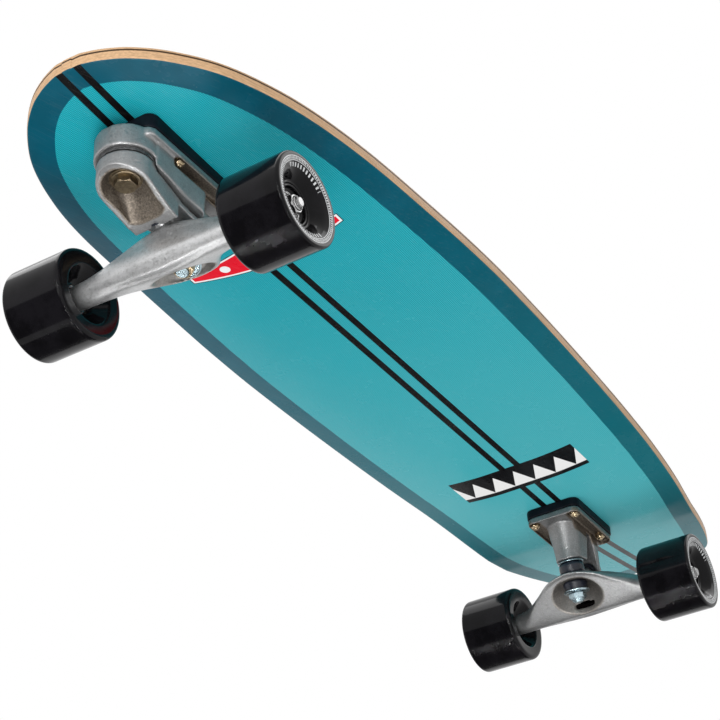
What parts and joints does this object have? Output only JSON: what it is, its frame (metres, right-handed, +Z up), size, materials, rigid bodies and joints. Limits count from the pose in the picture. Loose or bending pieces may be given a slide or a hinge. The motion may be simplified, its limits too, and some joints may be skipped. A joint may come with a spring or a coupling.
{
  "type": "surf skateboard",
  "caption": "Surf skateboard: pressed wooden deck with a rounded nose and square tail, a sprung swinging front truck, a plain rear truck and wide urethane wheels.",
  "frame": {"origin": "on the floor under the middle of the board, centred between its sides", "axes": "+X points to the nose, +Z up from the floor to the riding face, +Y across the board"},
  "size_m": [0.927, 0.25, 0.149],
  "materials": {
    "maple_deck": "teal lacquer under, bare maple plies at the edge",
    "grip_sheet": "abrasive grit",
    "riser_plastic": "satin black",
    "cast_alloy": "tumbled raw casting",
    "zinc_steel": "bright zinc plate",
    "axle_steel": "ground steel",
    "bushing_urethane": "satin dark urethane",
    "wheel_urethane": "glossy black urethane"
  },
  "bodies": {
    "board": {"deck": "maple_deck", "grip_tape": "grip_sheet", "front_riser": "riser_plastic", "rear_riser": "riser_plastic", "front_base": "cast_alloy", "rear_base": "cast_alloy", "front_deck_bolt_1": "zinc_steel", "front_deck_bolt_2": "zinc_steel", "front_deck_bolt_3": "zinc_steel", "front_deck_bolt_4": "zinc_steel", "rear_deck_bolt_1": "zinc_steel", "rear_deck_bolt_2": "zinc_steel", "rear_deck_bolt_3": "zinc_steel", "rear_deck_bolt_4": "zinc_steel", "swing_bolt": "zinc_steel", "swing_bearing": "zinc_steel", "spring_plunger": "zinc_steel", "return_spring": "zinc_steel", "spring_plug": "zinc_steel", "rear_kingpin": "zinc_steel", "rear_kingpin_nut": "zinc_steel", "rear_upper_cup_washer": "zinc_steel", "rear_lower_cup_washer": "zinc_steel", "rear_upper_bushing": "bushing_urethane", "rear_lower_bushing": "bushing_urethane", "rear_pivot_cup": "bushing_urethane"},
    "front_swing_arm": {"swing_arm": "cast_alloy", "front_kingpin": "zinc_steel", "front_kingpin_nut": "zinc_steel", "front_upper_cup_washer": "zinc_steel", "front_lower_cup_washer": "zinc_steel", "front_upper_bushing": "bushing_urethane", "front_lower_bushing": "bushing_urethane", "front_pivot_cup": "bushing_urethane"},
    "front_carriage": {"front_hanger": "cast_alloy", "front_axle": "axle_steel", "front_left_axle_nut": "axle_steel", "front_right_axle_nut": "axle_steel", "front_left_bearing_spacer": "axle_steel", "front_right_bearing_spacer": "axle_steel"},
    "rear_carriage": {"rear_hanger": "cast_alloy", "rear_axle": "axle_steel", "rear_left_axle_nut": "axle_steel", "rear_right_axle_nut": "axle_steel", "rear_left_bearing_spacer": "axle_steel", "rear_right_bearing_spacer": "axle_steel"},
    "front_left_wheel_set": {"front_left_wheel": "wheel_urethane", "front_left_inner_bearing": "axle_steel", "front_left_outer_bearing": "axle_steel"},
    "front_right_wheel_set": {"front_right_wheel": "wheel_urethane", "front_right_inner_bearing": "axle_steel", "front_right_outer_bearing": "axle_steel"},
    "rear_left_wheel_set": {"rear_left_wheel": "wheel_urethane", "rear_left_inner_bearing": "axle_steel", "rear_left_outer_bearing": "axle_steel"},
    "rear_right_wheel_set": {"rear_right_wheel": "wheel_urethane", "rear_right_inner_bearing": "axle_steel", "rear_right_outer_bearing": "axle_steel"}
  },
  "joints": [
    {"name": "arm_swing", "type": "hinge", "parent": "board", "child": "front_swing_arm", "pos_m": [0.396, 0, 0.08], "axis": [0, 0, 1], "range_deg": [-25, 25], "stiffness_Nm_per_rad": 6},
    {"name": "front_tilt", "type": "hinge", "parent": "front_swing_arm", "child": "front_carriage", "pos_m": [0.32535, 0, 0.057], "axis": [0.9724, 0, 0.2334], "range_deg": [-18, 18], "stiffness_Nm_per_rad": 40, "deforming": ["front_upper_bushing", "front_lower_bushing"]},
    {"name": "rear_tilt", "type": "hinge", "parent": "board", "child": "rear_carriage", "pos_m": [-0.27825, 0, 0.052], "axis": [-0.8526, 0, 0.5225], "range_deg": [-18, 18], "stiffness_Nm_per_rad": 40, "deforming": ["rear_upper_bushing", "rear_lower_bushing"]},
    {"name": "front_left_spin", "type": "hinge", "parent": "front_carriage", "child": "front_left_wheel_set", "pos_m": [0.35035, 0.0913, 0.035], "axis": [0, 1, 0], "continuous": true},
    {"name": "front_right_spin", "type": "hinge", "parent": "front_carriage", "child": "front_right_wheel_set", "pos_m": [0.35035, -0.0913, 0.035], "axis": [0, 1, 0], "continuous": true},
    {"name": "rear_left_spin", "type": "hinge", "parent": "rear_carriage", "child": "rear_left_wheel_set", "pos_m": [-0.30265, 0.0913, 0.035], "axis": [0, 1, 0], "continuous": true},
    {"name": "rear_right_spin", "type": "hinge", "parent": "rear_carriage", "child": "rear_right_wheel_set", "pos_m": [-0.30265, -0.0913, 0.035], "axis": [0, 1, 0], "continuous": true}
  ]
}
